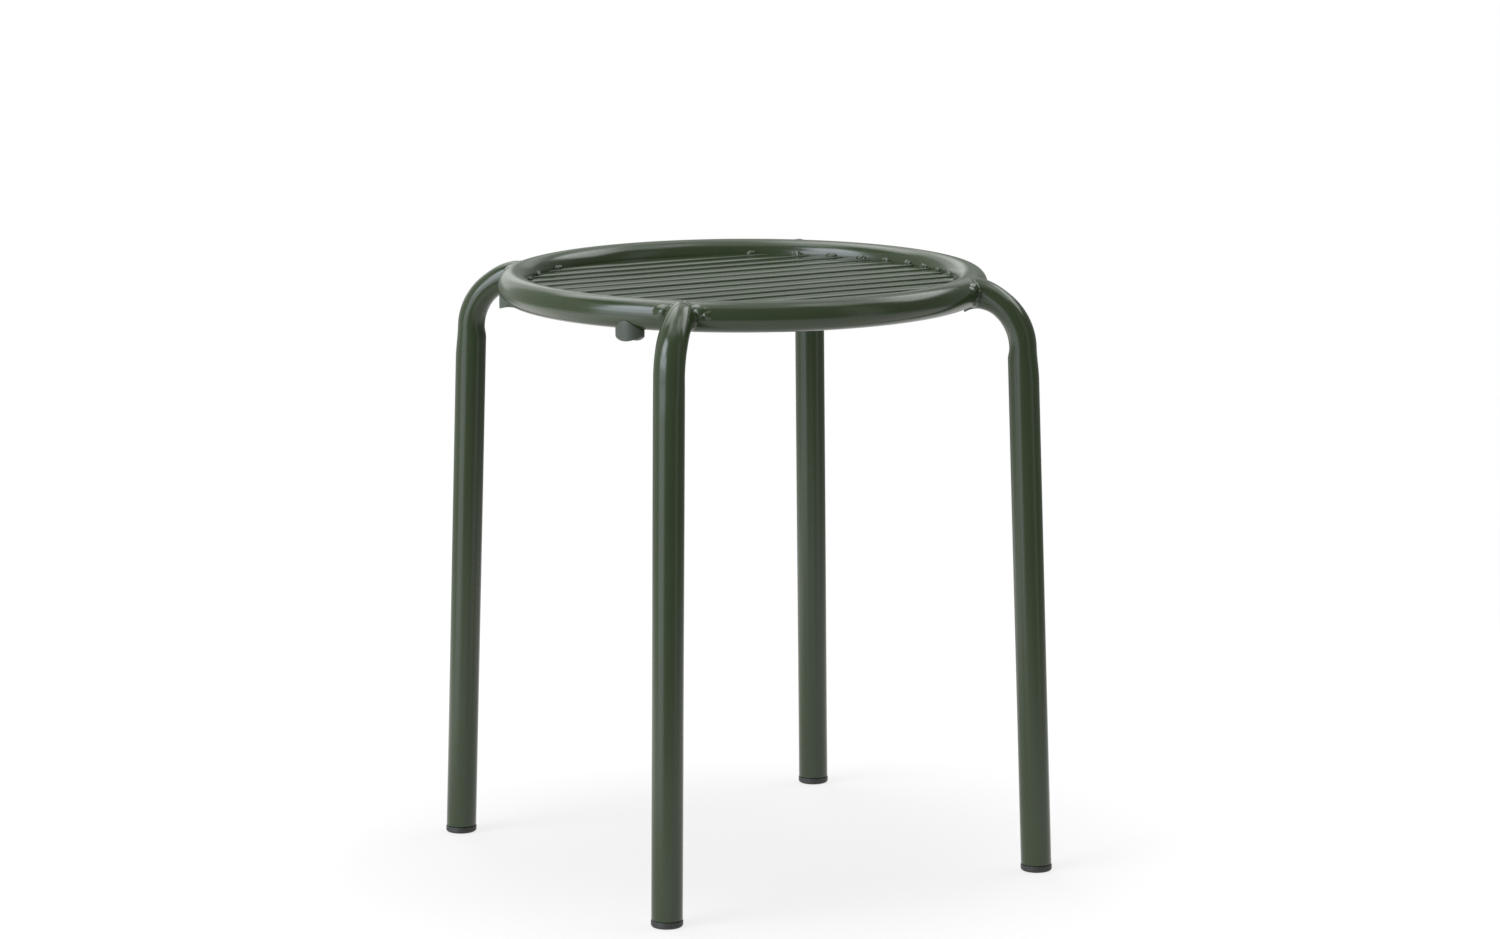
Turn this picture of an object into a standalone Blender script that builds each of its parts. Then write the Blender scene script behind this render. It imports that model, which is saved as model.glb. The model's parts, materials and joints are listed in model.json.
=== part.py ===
"""Round stackable garden stool: a steel tube ring on four bent tube legs, with a seat of steel slats.

Frame: origin on the floor under the middle of the seat, +Z up, +X along the slats.
The legs stand near the diagonals, a little closer to Y. Lengths are in metres and angles in radians.
"""

import math

import bmesh
import bpy
from mathutils import Matrix, Vector

# ---- Driving dimensions -------------------------------------------------------------------------
HEIGHT = 0.450                      # floor to the top of the ring and of the legs
TUBE_R = 0.0115                     # outer radius of the ring tube and of the leg tube
WALL = 0.0015                       # tube wall
GAP = 0.0003                        # clearance between pieces that touch

RING_R = 0.1727                     # centreline radius of the seat ring
RING_Z = HEIGHT - TUBE_R            # centreline height of the seat ring

FOOT_AXIS_R = 0.2293                # leg axis to stool axis, measured on the floor
LEAN = math.radians(1.9)            # how far each straight leg leans in towards the top
BEND_R = 0.0415                     # centreline radius of the bend below the ring
BEND_THIN = 0.15                    # how much the bend is squashed across its own plane
NECK_THIN = 0.11                    # how much the tube is drawn in sideways where it meets the ring
NECK_T = math.radians(60.0)         # it has its full width again this far into the bend
BEND_ROUND_T = math.radians(6.0)    # the tube is still round up to this far into the bend
BEND_FLAT_T = math.radians(38.0)    # and fully squashed from here
PINCH_LEFT = 0.80                   # share of the squash that is left where the straight begins
PINCH_RUN = 0.0085                  # length of straight over which the tube turns round again
LEG_TURN = math.radians(45.85)      # leg direction from the slat axis; the feet stand on a rectangle
LEG_ANGLES = {
    "front_left": math.pi + LEG_TURN,
    "front_right": -LEG_TURN,
    "rear_right": LEG_TURN,
    "rear_left": math.pi - LEG_TURN,
}

SLAT_COUNT = 13
SLAT_PITCH = 0.0228
SLAT_WIDTH = 0.0160
SLAT_THICK = 0.0040
SLAT_EDGE = 0.0008                  # rounding of the long edges
SLAT_TOP = RING_Z + 0.0015          # the seat lies sunk inside the ring

PAD_TURN = math.radians(13.65)      # each pad sits this far from its leg, towards the slat axis
PAD_OUT = 0.0024                    # pad centre, outward of the ring centreline
PAD_HALF_RADIAL = 0.0088
PAD_HALF_ALONG = 0.0111
PAD_EDGE = 0.0016                   # rounding of the pad's lower edge
PAD_STEM_R = 0.0035                 # push-in stem that holds the pad in the ring
PAD_STEM_TOP = RING_Z - 0.0030
GROOVE_R = TUBE_R + GAP             # the groove takes the ring of the stool below
GROOVE_OUT = 0.0032                 # groove centre, outward of the ring centreline
GROOVE_TOP = 0.4214                 # height of the groove's crown

FOOT_R = 0.0118                     # visible flange of the foot plug
FOOT_FLANGE = 0.0050
FOOT_EDGE = 0.0020                  # rounding of the flange
FOOT_CORE_R = 0.0086                # plug body inside the leg
FOOT_RIB_R = TUBE_R - WALL - GAP    # gripping ribs
FOOT_PLUG_TOP = 0.0220
FOOT_RIB_COUNT = 3
FOOT_RIB_PITCH = 0.0045
FOOT_RIB_HEIGHT = 0.0012
FOOT_CUP_R = 0.0062                 # hollow inside the plug
FOOT_CUP_FLOOR = 0.0060

# ---- Mesh resolution ----------------------------------------------------------------------------
RING_STEPS = 96
TUBE_STEPS = 20
BORE_STEPS = 10
BEND_STEPS = 9
PINCH_STEPS = 3
PAD_STEPS = 20
PAD_RINGS = 3
HOLE_STEPS = 16
FOOT_STEPS = 20
CORNER_STEPS = 3
SLAT_END_STEPS = 4
SHARP_ANGLE = math.radians(35.0)
COPE_HALVINGS = 40

# ---- Colours (linear) ---------------------------------------------------------------------------
GREEN_STEEL = (0.064, 0.078, 0.055, 1.0)
GREEN_PLASTIC = (0.105, 0.118, 0.098, 1.0)
BLACK_PLASTIC = (0.026, 0.028, 0.025, 1.0)


def clear_scene():
    """Remove every object of the opening scene."""
    for obj in list(bpy.data.objects):
        bpy.data.objects.remove(obj, do_unlink=True)


def make_material(name, colour, roughness, metallic=0.0):
    """A Principled material with one colour."""
    mat = bpy.data.materials.new(name)
    mat.use_nodes = True
    mat.diffuse_color = colour
    shader = mat.node_tree.nodes["Principled BSDF"]
    shader.inputs["Base Color"].default_value = colour
    shader.inputs["Roughness"].default_value = roughness
    shader.inputs["Metallic"].default_value = metallic
    return mat


def add_object(name, verts, faces, material):
    """One object from points and faces, with its normals outward and its round sides smooth."""
    mesh = bpy.data.meshes.new(name)
    mesh.from_pydata([tuple(v) for v in verts], [], faces)
    bm = bmesh.new()
    bm.from_mesh(mesh)
    bmesh.ops.recalc_face_normals(bm, faces=bm.faces)
    bm.to_mesh(mesh)
    bm.free()
    mesh.shade_smooth()
    mesh.set_sharp_from_angle(angle=SHARP_ANGLE)
    mesh.materials.append(material)
    obj = bpy.data.objects.new(name, mesh)
    bpy.context.scene.collection.objects.link(obj)
    return obj


def smoothstep(value):
    """0 below 0, 1 above 1, and a smooth rise between."""
    t = min(max(value, 0.0), 1.0)
    return t * t * (3.0 - 2.0 * t)


def bridge(faces, first, second, steps):
    """Quads between two closed loops of the same number of points."""
    for i in range(steps):
        j = (i + 1) % steps
        faces.append((first + i, first + j, second + j, second + i))


# ---- Seat ring ----------------------------------------------------------------------------------
def torus_shell(verts, faces, tube_r, steps, inward):
    """Add a torus of the given tube radius; inward turns its faces to the inside."""
    start = len(verts)
    for i in range(RING_STEPS):
        turn = 2.0 * math.pi * i / RING_STEPS
        for j in range(steps):
            around = 2.0 * math.pi * j / steps
            reach = RING_R + tube_r * math.cos(around)
            height = RING_Z + tube_r * math.sin(around)
            verts.append((reach * math.cos(turn), reach * math.sin(turn), height))
    for i in range(RING_STEPS):
        for j in range(steps):
            a = start + i * steps + j
            b = start + i * steps + (j + 1) % steps
            c = start + ((i + 1) % RING_STEPS) * steps + (j + 1) % steps
            d = start + ((i + 1) % RING_STEPS) * steps + j
            faces.append((a, b, c, d) if inward else (a, d, c, b))


def make_seat_ring(material):
    """The hollow ring, with a hole in its underside for each pad's stem."""
    verts = []
    faces = []
    torus_shell(verts, faces, TUBE_R, TUBE_STEPS, False)
    torus_shell(verts, faces, TUBE_R - WALL, BORE_STEPS, True)
    mesh = bpy.data.meshes.new("seat_ring")
    mesh.from_pydata(verts, [], faces)
    mesh.materials.append(material)
    ring = bpy.data.objects.new("seat_ring", mesh)
    bpy.context.scene.collection.objects.link(ring)
    for name, angle in pad_angles().items():
        cut = ring.modifiers.new("stem_hole_" + name, "BOOLEAN")
        cut.operation = "DIFFERENCE"
        cut.solver = "EXACT"
        cut.object = make_hole_cutter("cut_" + name, angle, material)
    mesh.shade_smooth()
    mesh.set_sharp_from_angle(angle=SHARP_ANGLE)
    return ring


def make_hole_cutter(name, angle, material):
    """A short upright cylinder that passes through the lower wall of the ring only."""
    verts = []
    faces = []
    place = Matrix.Rotation(angle, 4, "Z") @ Matrix.Translation((RING_R + PAD_OUT, 0.0, 0.0))
    hole_r = PAD_STEM_R + GAP
    for height in (RING_Z - 2.0 * TUBE_R, RING_Z - WALL):
        for i in range(HOLE_STEPS):
            turn = 2.0 * math.pi * i / HOLE_STEPS
            verts.append(place @ Vector((hole_r * math.cos(turn), hole_r * math.sin(turn), height)))
    bridge(faces, 0, HOLE_STEPS, HOLE_STEPS)
    faces.append(tuple(range(HOLE_STEPS)))
    faces.append(tuple(range(2 * HOLE_STEPS - 1, HOLE_STEPS - 1, -1)))
    cutter = add_object(name, verts, faces, material)
    cutter.hide_render = True
    cutter.display_type = "WIRE"
    return cutter


# ---- Legs ---------------------------------------------------------------------------------------
BEND_END = math.pi / 2.0 - LEAN
BEND_TOP_R = (
    FOOT_AXIS_R
    - math.tan(LEAN) * (RING_Z - BEND_R)
    - BEND_R / math.cos(LEAN)
)


def leg_axis_r(height):
    """Distance of the straight leg's axis from the stool axis at a height."""
    return FOOT_AXIS_R - math.tan(LEAN) * height


def squash(turn):
    """Share of the full squash at an angle into the bend."""
    rise = smoothstep((turn - BEND_ROUND_T) / (BEND_FLAT_T - BEND_ROUND_T))
    fade = smoothstep((turn - BEND_FLAT_T) / (BEND_END - BEND_FLAT_T))
    return rise * (1.0 - (1.0 - PINCH_LEFT) * fade)


def tube_halves(share, neck, inset):
    """Half the tube's size in the bend's plane and across it, for shares of the squash and neck."""
    thin = TUBE_R * (1.0 - BEND_THIN * share) - inset
    wide = TUBE_R * (1.0 - NECK_THIN * neck) - inset
    return thin, wide


def bend_point(turn, around, inset):
    """A point of the bend: turn runs along it from the ring, around runs round the tube."""
    thin, wide = tube_halves(squash(turn), 1.0 - smoothstep(turn / NECK_T), inset)
    reach = BEND_R + thin * math.cos(around)
    return Vector((
        BEND_TOP_R + reach * math.sin(turn),
        wide * math.sin(around),
        RING_Z - BEND_R + reach * math.cos(turn),
    ))


def cope_turn(around, inset):
    """How far into the bend this line of the tube clears the ring."""
    low = 0.0
    high = BEND_FLAT_T
    for _ in range(COPE_HALVINGS):
        middle = 0.5 * (low + high)
        point = bend_point(middle, around, inset)
        across = math.hypot(point.x, point.y) - RING_R
        if math.hypot(across, point.z - RING_Z) < TUBE_R + GAP:
            low = middle
        else:
            high = middle
    return high


def leg_loops(inset):
    """Closed loops of points from the coped top end down to the open foot end."""
    turns = [2.0 * math.pi * i / TUBE_STEPS for i in range(TUBE_STEPS)]
    starts = [cope_turn(around, inset) for around in turns]
    loops = []
    for k in range(BEND_STEPS + 1):
        share = k / BEND_STEPS
        loops.append([
            bend_point(start + (BEND_END - start) * share, around, inset)
            for start, around in zip(starts, turns)
        ])
    outward = Vector((math.cos(LEAN), 0.0, math.sin(LEAN)))
    down = Vector((math.sin(LEAN), 0.0, -math.cos(LEAN)))
    bend_foot = Vector((
        BEND_TOP_R + BEND_R * math.sin(BEND_END), 0.0, RING_Z - BEND_R + BEND_R * math.cos(BEND_END)
    ))
    for k in range(1, PINCH_STEPS + 1):
        run = k / PINCH_STEPS
        thin, wide = tube_halves(PINCH_LEFT * (1.0 - smoothstep(run)), 0.0, inset)
        centre = bend_foot + down * (PINCH_RUN * run)
        loops.append([
            centre + outward * (thin * math.cos(around)) + Vector((0.0, wide * math.sin(around), 0.0))
            for around in turns
        ])
    end_z = FOOT_FLANGE + GAP
    radius = TUBE_R - inset
    loops.append([
        Vector((leg_axis_r(end_z) + radius * math.cos(around), radius * math.sin(around), end_z))
        for around in turns
    ])
    return loops


def make_leg(name, angle, material):
    """One bent tube, open at both ends, coped to sit against the ring."""
    place = Matrix.Rotation(angle, 4, "Z")
    outer = leg_loops(0.0)
    inner = leg_loops(WALL)
    verts = [place @ point for loop in outer + inner for point in loop]
    faces = []
    count = len(outer)
    inner_start = count * TUBE_STEPS
    for k in range(count - 1):
        bridge(faces, k * TUBE_STEPS, (k + 1) * TUBE_STEPS, TUBE_STEPS)
        bridge(faces, inner_start + (k + 1) * TUBE_STEPS, inner_start + k * TUBE_STEPS, TUBE_STEPS)
    bridge(faces, inner_start, 0, TUBE_STEPS)
    bridge(faces, (count - 1) * TUBE_STEPS, inner_start + (count - 1) * TUBE_STEPS, TUBE_STEPS)
    return add_object(name, verts, faces, material)


# ---- Feet ---------------------------------------------------------------------------------------
def foot_profile():
    """Radius and height of the foot plug from its underside, up the outside, down into its cup."""
    profile = []
    for k in range(CORNER_STEPS + 1):
        turn = 0.5 * math.pi * k / CORNER_STEPS
        profile.append((
            FOOT_R - FOOT_EDGE + FOOT_EDGE * math.sin(turn),
            FOOT_EDGE - FOOT_EDGE * math.cos(turn),
        ))
    profile.append((FOOT_R, FOOT_FLANGE))
    profile.append((FOOT_CORE_R, FOOT_FLANGE))
    for k in range(FOOT_RIB_COUNT):
        base = FOOT_FLANGE + FOOT_RIB_PITCH * (k + 0.5)
        profile.append((FOOT_CORE_R, base))
        profile.append((FOOT_RIB_R, base + 0.5 * FOOT_RIB_HEIGHT))
        profile.append((FOOT_CORE_R, base + FOOT_RIB_HEIGHT))
    profile.append((FOOT_CORE_R, FOOT_PLUG_TOP))
    profile.append((FOOT_CUP_R, FOOT_PLUG_TOP))
    profile.append((FOOT_CUP_R, FOOT_CUP_FLOOR))
    return profile


def make_foot(name, angle, material):
    """A plug with a rounded flange, following the leg's lean, flat on the floor."""
    place = Matrix.Rotation(angle, 4, "Z")
    verts = []
    faces = []
    profile = foot_profile()
    for radius, height in profile:
        for i in range(FOOT_STEPS):
            turn = 2.0 * math.pi * i / FOOT_STEPS
            local = Vector((
                leg_axis_r(height) + radius * math.cos(turn), radius * math.sin(turn), height
            ))
            verts.append(place @ local)
    for k in range(len(profile) - 1):
        bridge(faces, k * FOOT_STEPS, (k + 1) * FOOT_STEPS, FOOT_STEPS)
    last = (len(profile) - 1) * FOOT_STEPS
    faces.append(tuple(range(FOOT_STEPS - 1, -1, -1)))
    faces.append(tuple(range(last, last + FOOT_STEPS)))
    return add_object(name, verts, faces, material)


# ---- Slats --------------------------------------------------------------------------------------
def slat_section():
    """Outline of a flat bar with rounded edges, as offsets across and up from its middle."""
    half_w = 0.5 * SLAT_WIDTH - SLAT_EDGE
    half_t = 0.5 * SLAT_THICK - SLAT_EDGE
    outline = []
    for corner in range(4):
        side_y = 1.0 if corner in (0, 3) else -1.0
        side_z = 1.0 if corner in (0, 1) else -1.0
        for k in range(CORNER_STEPS):
            turn = 0.5 * math.pi * (corner + k / (CORNER_STEPS - 1))
            outline.append((
                side_y * half_w + SLAT_EDGE * math.cos(turn),
                side_z * half_t + SLAT_EDGE * math.sin(turn),
            ))
        if corner in (0, 2):
            for k in range(1, SLAT_END_STEPS):
                across = side_y * half_w * (1.0 - 2.0 * k / SLAT_END_STEPS)
                outline.append((across, side_z * (half_t + SLAT_EDGE)))
    return outline


def make_slat(name, middle_y, material):
    """A flat bar from one side of the ring to the other, its ends cut to the ring's curve."""
    reach = RING_R - TUBE_R - GAP
    outline = slat_section()
    verts = []
    for side in (-1.0, 1.0):
        for across, up in outline:
            y = middle_y + across
            z = SLAT_TOP - 0.5 * SLAT_THICK + up
            verts.append((side * math.sqrt(reach * reach - y * y), y, z))
    steps = len(outline)
    faces = []
    bridge(faces, 0, steps, steps)
    add_end_cap(faces, 0, outline)
    add_end_cap(faces, steps, outline)
    return add_object(name, verts, faces, material)


def add_end_cap(faces, start, outline):
    """Close a bar's curved end with upright strips, since its points are not in one plane."""
    top = sorted((i for i, (_, up) in enumerate(outline) if up > 0.0), key=lambda i: outline[i][0])
    low = sorted((i for i, (_, up) in enumerate(outline) if up <= 0.0), key=lambda i: outline[i][0])
    for k in range(len(top) - 1):
        faces.append((start + top[k], start + top[k + 1], start + low[k + 1], start + low[k]))


# ---- Stacking pads ------------------------------------------------------------------------------
def pad_angles():
    """Direction of each pad: beside its leg, on the side of the slat axis."""
    angles = {}
    for name, angle in LEG_ANGLES.items():
        side = -1.0 if math.sin(2.0 * angle) > 0.0 else 1.0
        angles[name] = angle + side * PAD_TURN
    return angles


def tube_underside(x, y):
    """Height of the surface just clear of the ring's underside."""
    across = math.hypot(x, y) - RING_R
    return RING_Z - math.sqrt((TUBE_R + GAP) ** 2 - across * across)


def groove_height(x, y):
    """Height of the groove in the pad's underside."""
    across = math.hypot(x, y) - RING_R - GROOVE_OUT
    return GROOVE_TOP - GROOVE_R + math.sqrt(GROOVE_R ** 2 - across * across)


def pad_loop(half_radial, half_along):
    """Plan points of an oval around the pad's centre."""
    points = []
    for i in range(PAD_STEPS):
        turn = 2.0 * math.pi * i / PAD_STEPS
        points.append((
            RING_R + PAD_OUT + half_radial * math.cos(turn),
            half_along * math.sin(turn),
        ))
    return points


def make_pad(name, angle, material):
    """An oval block under the ring: saddle on top, groove below, stem up into the ring."""
    place = Matrix.Rotation(angle, 4, "Z")
    loops = [[(x, y, PAD_STEM_TOP) for x, y in pad_loop(PAD_STEM_R, PAD_STEM_R)]]
    for k in range(PAD_RINGS + 1):
        share = k / PAD_RINGS
        oval = pad_loop(
            PAD_STEM_R + (PAD_HALF_RADIAL - PAD_STEM_R) * share,
            PAD_STEM_R + (PAD_HALF_ALONG - PAD_STEM_R) * share,
        )
        loops.append([(x, y, tube_underside(x, y)) for x, y in oval])
    for k in range(CORNER_STEPS + 1):
        turn = 0.5 * math.pi * k / CORNER_STEPS
        inset = PAD_EDGE * (1.0 - math.cos(turn))
        lift = PAD_EDGE * (1.0 - math.sin(turn))
        oval = pad_loop(PAD_HALF_RADIAL - inset, PAD_HALF_ALONG - inset)
        loops.append([(x, y, groove_height(x, y) + lift) for x, y in oval])
    for k in range(1, PAD_RINGS):
        share = 1.0 - k / PAD_RINGS
        oval = pad_loop((PAD_HALF_RADIAL - PAD_EDGE) * share, (PAD_HALF_ALONG - PAD_EDGE) * share)
        loops.append([(x, y, groove_height(x, y)) for x, y in oval])
    verts = [place @ Vector(point) for loop in loops for point in loop]
    faces = [tuple(range(PAD_STEPS))]
    for k in range(len(loops) - 1):
        bridge(faces, k * PAD_STEPS, (k + 1) * PAD_STEPS, PAD_STEPS)
    centre = RING_R + PAD_OUT
    verts.append(place @ Vector((centre, 0.0, groove_height(centre, 0.0))))
    last = (len(loops) - 1) * PAD_STEPS
    for i in range(PAD_STEPS):
        faces.append((last + i, last + (i + 1) % PAD_STEPS, len(verts) - 1))
    return add_object(name, verts, faces, material)


# ---- Assembly -----------------------------------------------------------------------------------
def main():
    """Build every piece of the stool."""
    clear_scene()
    steel = make_material("green_powder_coat", GREEN_STEEL, 0.38)
    plastic = make_material("green_plastic", GREEN_PLASTIC, 0.55)
    black = make_material("black_plastic", BLACK_PLASTIC, 0.50)

    make_seat_ring(steel)
    for name, angle in LEG_ANGLES.items():
        make_leg("leg_" + name, angle, steel)
        make_foot("foot_" + name, angle, black)
    for name, angle in pad_angles().items():
        make_pad("stacking_pad_" + name, angle, plastic)
    for k in range(SLAT_COUNT):
        middle_y = SLAT_PITCH * (k - (SLAT_COUNT - 1) / 2)
        make_slat("slat_%02d" % (k + 1), middle_y, steel)


main()
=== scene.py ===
import json
import math
import random

import bpy
import numpy as np
from mathutils import Matrix, Vector, noise as perlin


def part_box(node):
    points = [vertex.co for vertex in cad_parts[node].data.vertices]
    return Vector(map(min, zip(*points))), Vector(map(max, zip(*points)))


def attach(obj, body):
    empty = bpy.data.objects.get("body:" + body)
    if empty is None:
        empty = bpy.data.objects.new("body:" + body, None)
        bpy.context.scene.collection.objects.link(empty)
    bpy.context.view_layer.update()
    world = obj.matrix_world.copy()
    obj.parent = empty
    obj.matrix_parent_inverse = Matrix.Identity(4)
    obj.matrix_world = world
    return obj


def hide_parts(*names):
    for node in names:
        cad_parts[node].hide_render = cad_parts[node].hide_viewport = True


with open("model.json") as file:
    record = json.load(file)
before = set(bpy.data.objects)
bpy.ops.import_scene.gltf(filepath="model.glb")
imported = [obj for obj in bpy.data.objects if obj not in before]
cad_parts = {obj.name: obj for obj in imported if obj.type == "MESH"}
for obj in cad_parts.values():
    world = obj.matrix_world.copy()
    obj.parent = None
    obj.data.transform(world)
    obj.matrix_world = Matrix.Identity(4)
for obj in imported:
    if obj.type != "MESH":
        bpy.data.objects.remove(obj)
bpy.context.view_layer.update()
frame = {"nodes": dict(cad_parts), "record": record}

# Lengths are in metres. Angles are in radians, but LIT_AZIMUTH and the panels' are in degrees.

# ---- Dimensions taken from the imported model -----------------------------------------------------
RING_LOW, RING_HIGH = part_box("seat_ring")
TUBE_R = 0.5 * (RING_HIGH.z - RING_LOW.z)
RING_Z = 0.5 * (RING_HIGH.z + RING_LOW.z)
RING_R = RING_HIGH.x - TUBE_R
MOUNTS = {m["name"]: Vector(m["pos_m"]) for m in frame["record"]["mounts"]}
CORNERS = ("front_left", "front_right", "rear_right", "rear_left")
FOOT_AXIS_R = math.hypot(MOUNTS["floor_front_left"].x, MOUNTS["floor_front_left"].y)
LEG_ANGLES = {
    corner: math.atan2(MOUNTS["floor_" + corner].y, MOUNTS["floor_" + corner].x)
    for corner in CORNERS
}
FOOT_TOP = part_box("leg_front_left")[0].z
SLAT_NODES = sorted(name for name in frame["nodes"] if name.startswith("slat_"))

# ---- Legs ---------------------------------------------------------------------------------------
LEAN = math.radians(1.9)
BEND_R = 0.0415                     # bend radius of the axis
BEND_THIN = 0.15                    # share of its depth that the tube loses in the bend
NECK_THIN = 0.11                    # share of its width that it loses where it meets the ring
NECK_T = math.radians(60.0)         # turn after which it has its full width
BEND_ROUND_T = math.radians(6.0)    # turn where the squash starts
BEND_FLAT_T = math.radians(38.0)    # turn where the squash is full
PINCH_LEFT = 0.80                   # share of the squash that is left at the end of the bend
PINCH_RUN = 0.0085                  # length below the bend after which the inner side is round
OUTER_RUN = 0.0240                  # the same for the outer side
BEND_END = math.pi / 2.0 - LEAN
BEND_TOP_R = FOOT_AXIS_R - math.tan(LEAN) * (RING_Z - BEND_R) - BEND_R / math.cos(LEAN)
CUT_EDGE = 0.0005                   # rounding of a leg's cut ends
CUT_RUN = 0.0080                    # length over which the upper end is drawn in
STRAIGHT_SPACING = 1.6              # loops are closer together near the bend
LEG_STEPS = 48

# ---- Welds --------------------------------------------------------------------------------------
WELD_GRAIN_RATIO = 2.3              # of the fine unevenness to the coarse
WELD_FRONT = -0.2                   # cosine of the angle past which a weld is smooth
BEAD_COUNT = 300
BEAD_STEPS = 20
BEAD_SMOOTHING = 6
BEAD_RADIUS = 0.0032
BEAD_PROUD = 0.0021                 # how far the bead fills the corner
BEAD_PROUD_LEVEL = 0.00004          # the same where leg and ring are level
BEAD_DRIFT = 0.00035                # slow change of its size
BEAD_DRIFTS = 16                    # number of random sizes round it
BEAD_RIPPLE = 0.00009
BEAD_PITCH = 0.0034                 # length of a ripple
BEAD_BOW = 0.3                      # how far the ripples bow, as a share of that length
BEAD_ROUGH = 0.00028
BEAD_GRAIN = 330.0
BEAD_CALM = 0.6                     # unevenness lost where leg and ring are level
BEAD_WIDEN = 1.15
# Lumps beside each joint: distance along the ring, angle up round its tube, radius.
LUMPS = ((0.0130, 0.42, 0.0074), (0.0192, 0.36, 0.0052), (-0.0128, 0.42, 0.0080))
LUMP_SIDE = {"front_left": 1.0, "front_right": -1.0, "rear_right": 1.0, "rear_left": -1.0}
LUMP_HEIGHT = 0.28                  # share of its radius
LUMP_STRETCH = 1.25                 # along the ring
LUMP_TIP = 0.03                     # share of its radius that its innermost loop has
LUMP_PLACE_SPREAD = 0.0008
LUMP_TILT_SPREAD = 0.15
LUMP_SIZES = (0.9, 1.1)
LUMP_SUNK = 0.0002                  # how far its edge is under the ring's skin
LUMP_BOTTOM = -0.0012
LUMP_ROUGH = 0.0003
LUMP_GRAIN = 250.0
SLAT_WELD_LENGTHS = (0.0066, 0.0100)
SLAT_WELD_SIZES = (0.80, 1.15)
SLAT_WELD_SPREAD = 0.0015           # along the ring
SLAT_WELD_RADIUS = 0.0029
SLAT_WELD_PROUD = 0.0022
SLAT_WELD_BASE = 0.0002
SLAT_WELD_TILT = 0.8                # inward share of its direction, to 1 upward
SLAT_WELD_END = 0.15                # share of its radius that is left at its ends
SLAT_WELD_BLUNT = 2.6
SLAT_WELD_ROUGH = 0.0009
SLAT_WELD_GRAIN = 520.0

# ---- Slats, pads and feet -----------------------------------------------------------------------
SLAT_EDGE = 0.0010
SLAT_INTO_RING = 0.0022             # how far a slat's ends run into the ring
SLAT_LIFT = 0.00018                 # spread of the slats' heights
SLAT_TILT = 0.012                   # spread of their tilts
PAD_OUT = 0.0024
PAD_HALF_RADIAL = 0.0088
PAD_HALF_ALONG = 0.0111
PAD_GAP = 0.0002                    # between its saddle and the ring
PAD_EDGE = 0.0016
PAD_RIM = 0.0007
GROOVE_R = TUBE_R + 0.0003
GROOVE_OUT = 0.0032
GROOVE_TOP = 0.4214
FOOT_R = 0.0118
FOOT_EDGE = 0.0020
FOOT_SEAM_Z = 0.0030
FOOT_SEAM = 0.00012                 # depth of the mould's seam line
FOOT_SEAM_HALF = 0.0002             # half its width
FOOT_LIP = 0.0006                   # softened upper edge of the flange
FOOT_GAP = 0.0003
PLUG_R = 0.0096
PLUG_TOP = 0.0200

# ---- Finishes -----------------------------------------------------------------------------------
TEXTURE_MIDDLE = (0.3, 0.7)         # range that most of a noise texture falls in
COAT_DARK = (0.021, 0.033, 0.012, 1.0)
COAT_LIGHT = (0.025, 0.038, 0.015, 1.0)
COAT_ROUGH = (0.16, 0.22)
SLAT_COAT_ROUGH = (0.10, 0.14)
PAD_DARK = (0.048, 0.058, 0.044, 1.0)
PAD_LIGHT = (0.056, 0.067, 0.052, 1.0)
PAD_ROUGH = (0.44, 0.56)
FOOT_DARK = (0.020, 0.022, 0.019, 1.0)
FOOT_LIGHT = (0.028, 0.030, 0.026, 1.0)
FOOT_ROUGH = (0.42, 0.56)

# ---- Stage --------------------------------------------------------------------------------------
CAMERA_AZIMUTH = math.radians(-29.992)
CAMERA_DISTANCE = 3.7682
CAMERA_HEIGHT = 0.9624
CAMERA_PITCH = 0.17493
CAMERA_YAW = 0.00134
CAMERA_ROLL = -0.0022
CAMERA_LENS = 121.25
CAMERA_SENSOR = 36.0
FLOOR_RADII = (0.5, 2.0)
FLOOR_ALBEDO = 0.14
FLOOR_TINT = (1.0, 0.983, 0.983, 1.0)
FLOOR_GLOW = 0.87
FLOOR_FADE = (0.30, 1.60)           # radii between which the floor fades out
# Painted light and shade on the floor: a painted pool of light on one side, a painted shadow under the
# stool.
LIT_AZIMUTH = -95.0                 # side on which the floor has a painted pool of light
PAINTED_LIGHT_REACH = (0.28, 0.75)
PAINTED_LIGHT_GLOW = 0.7
PAINTED_SHADOW_REACH = (0.06, 0.50)
PAINTED_SHADOW_GLOW = 0.16                   # glow taken away under the stool: a painted shadow
BACKDROP_R = 60.0
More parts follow.
